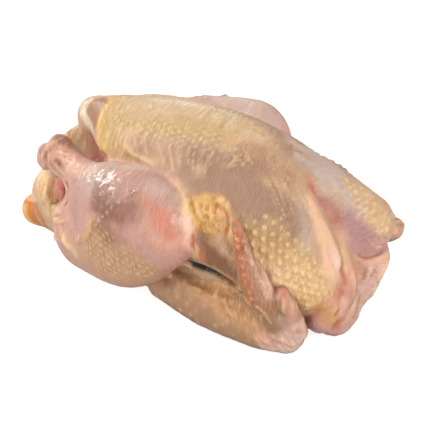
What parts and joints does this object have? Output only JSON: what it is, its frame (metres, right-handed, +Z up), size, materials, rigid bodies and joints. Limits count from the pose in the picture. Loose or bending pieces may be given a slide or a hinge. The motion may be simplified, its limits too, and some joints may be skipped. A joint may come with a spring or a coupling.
{
  "type": "whole raw chicken",
  "caption": "Whole raw chicken lying on its back, breast up, with folded legs and wings, an open body cavity at the tail and loose neck skin.",
  "frame": {"origin": "middle of the bounding box's underside, on the surface that the bird lies on", "axes": "+X towards the neck end, -X towards the tail and the cut cavity, +Y to the side away from the near leg, +Z up through the keel of the breast"},
  "size_m": [0.266, 0.1586, 0.1257],
  "materials": {
    "skin": "moist, softly glossy raw skin with yellow fat under it"
  },
  "bodies": {
    "root": {"chicken": "skin"}
  },
  "joints": []
}
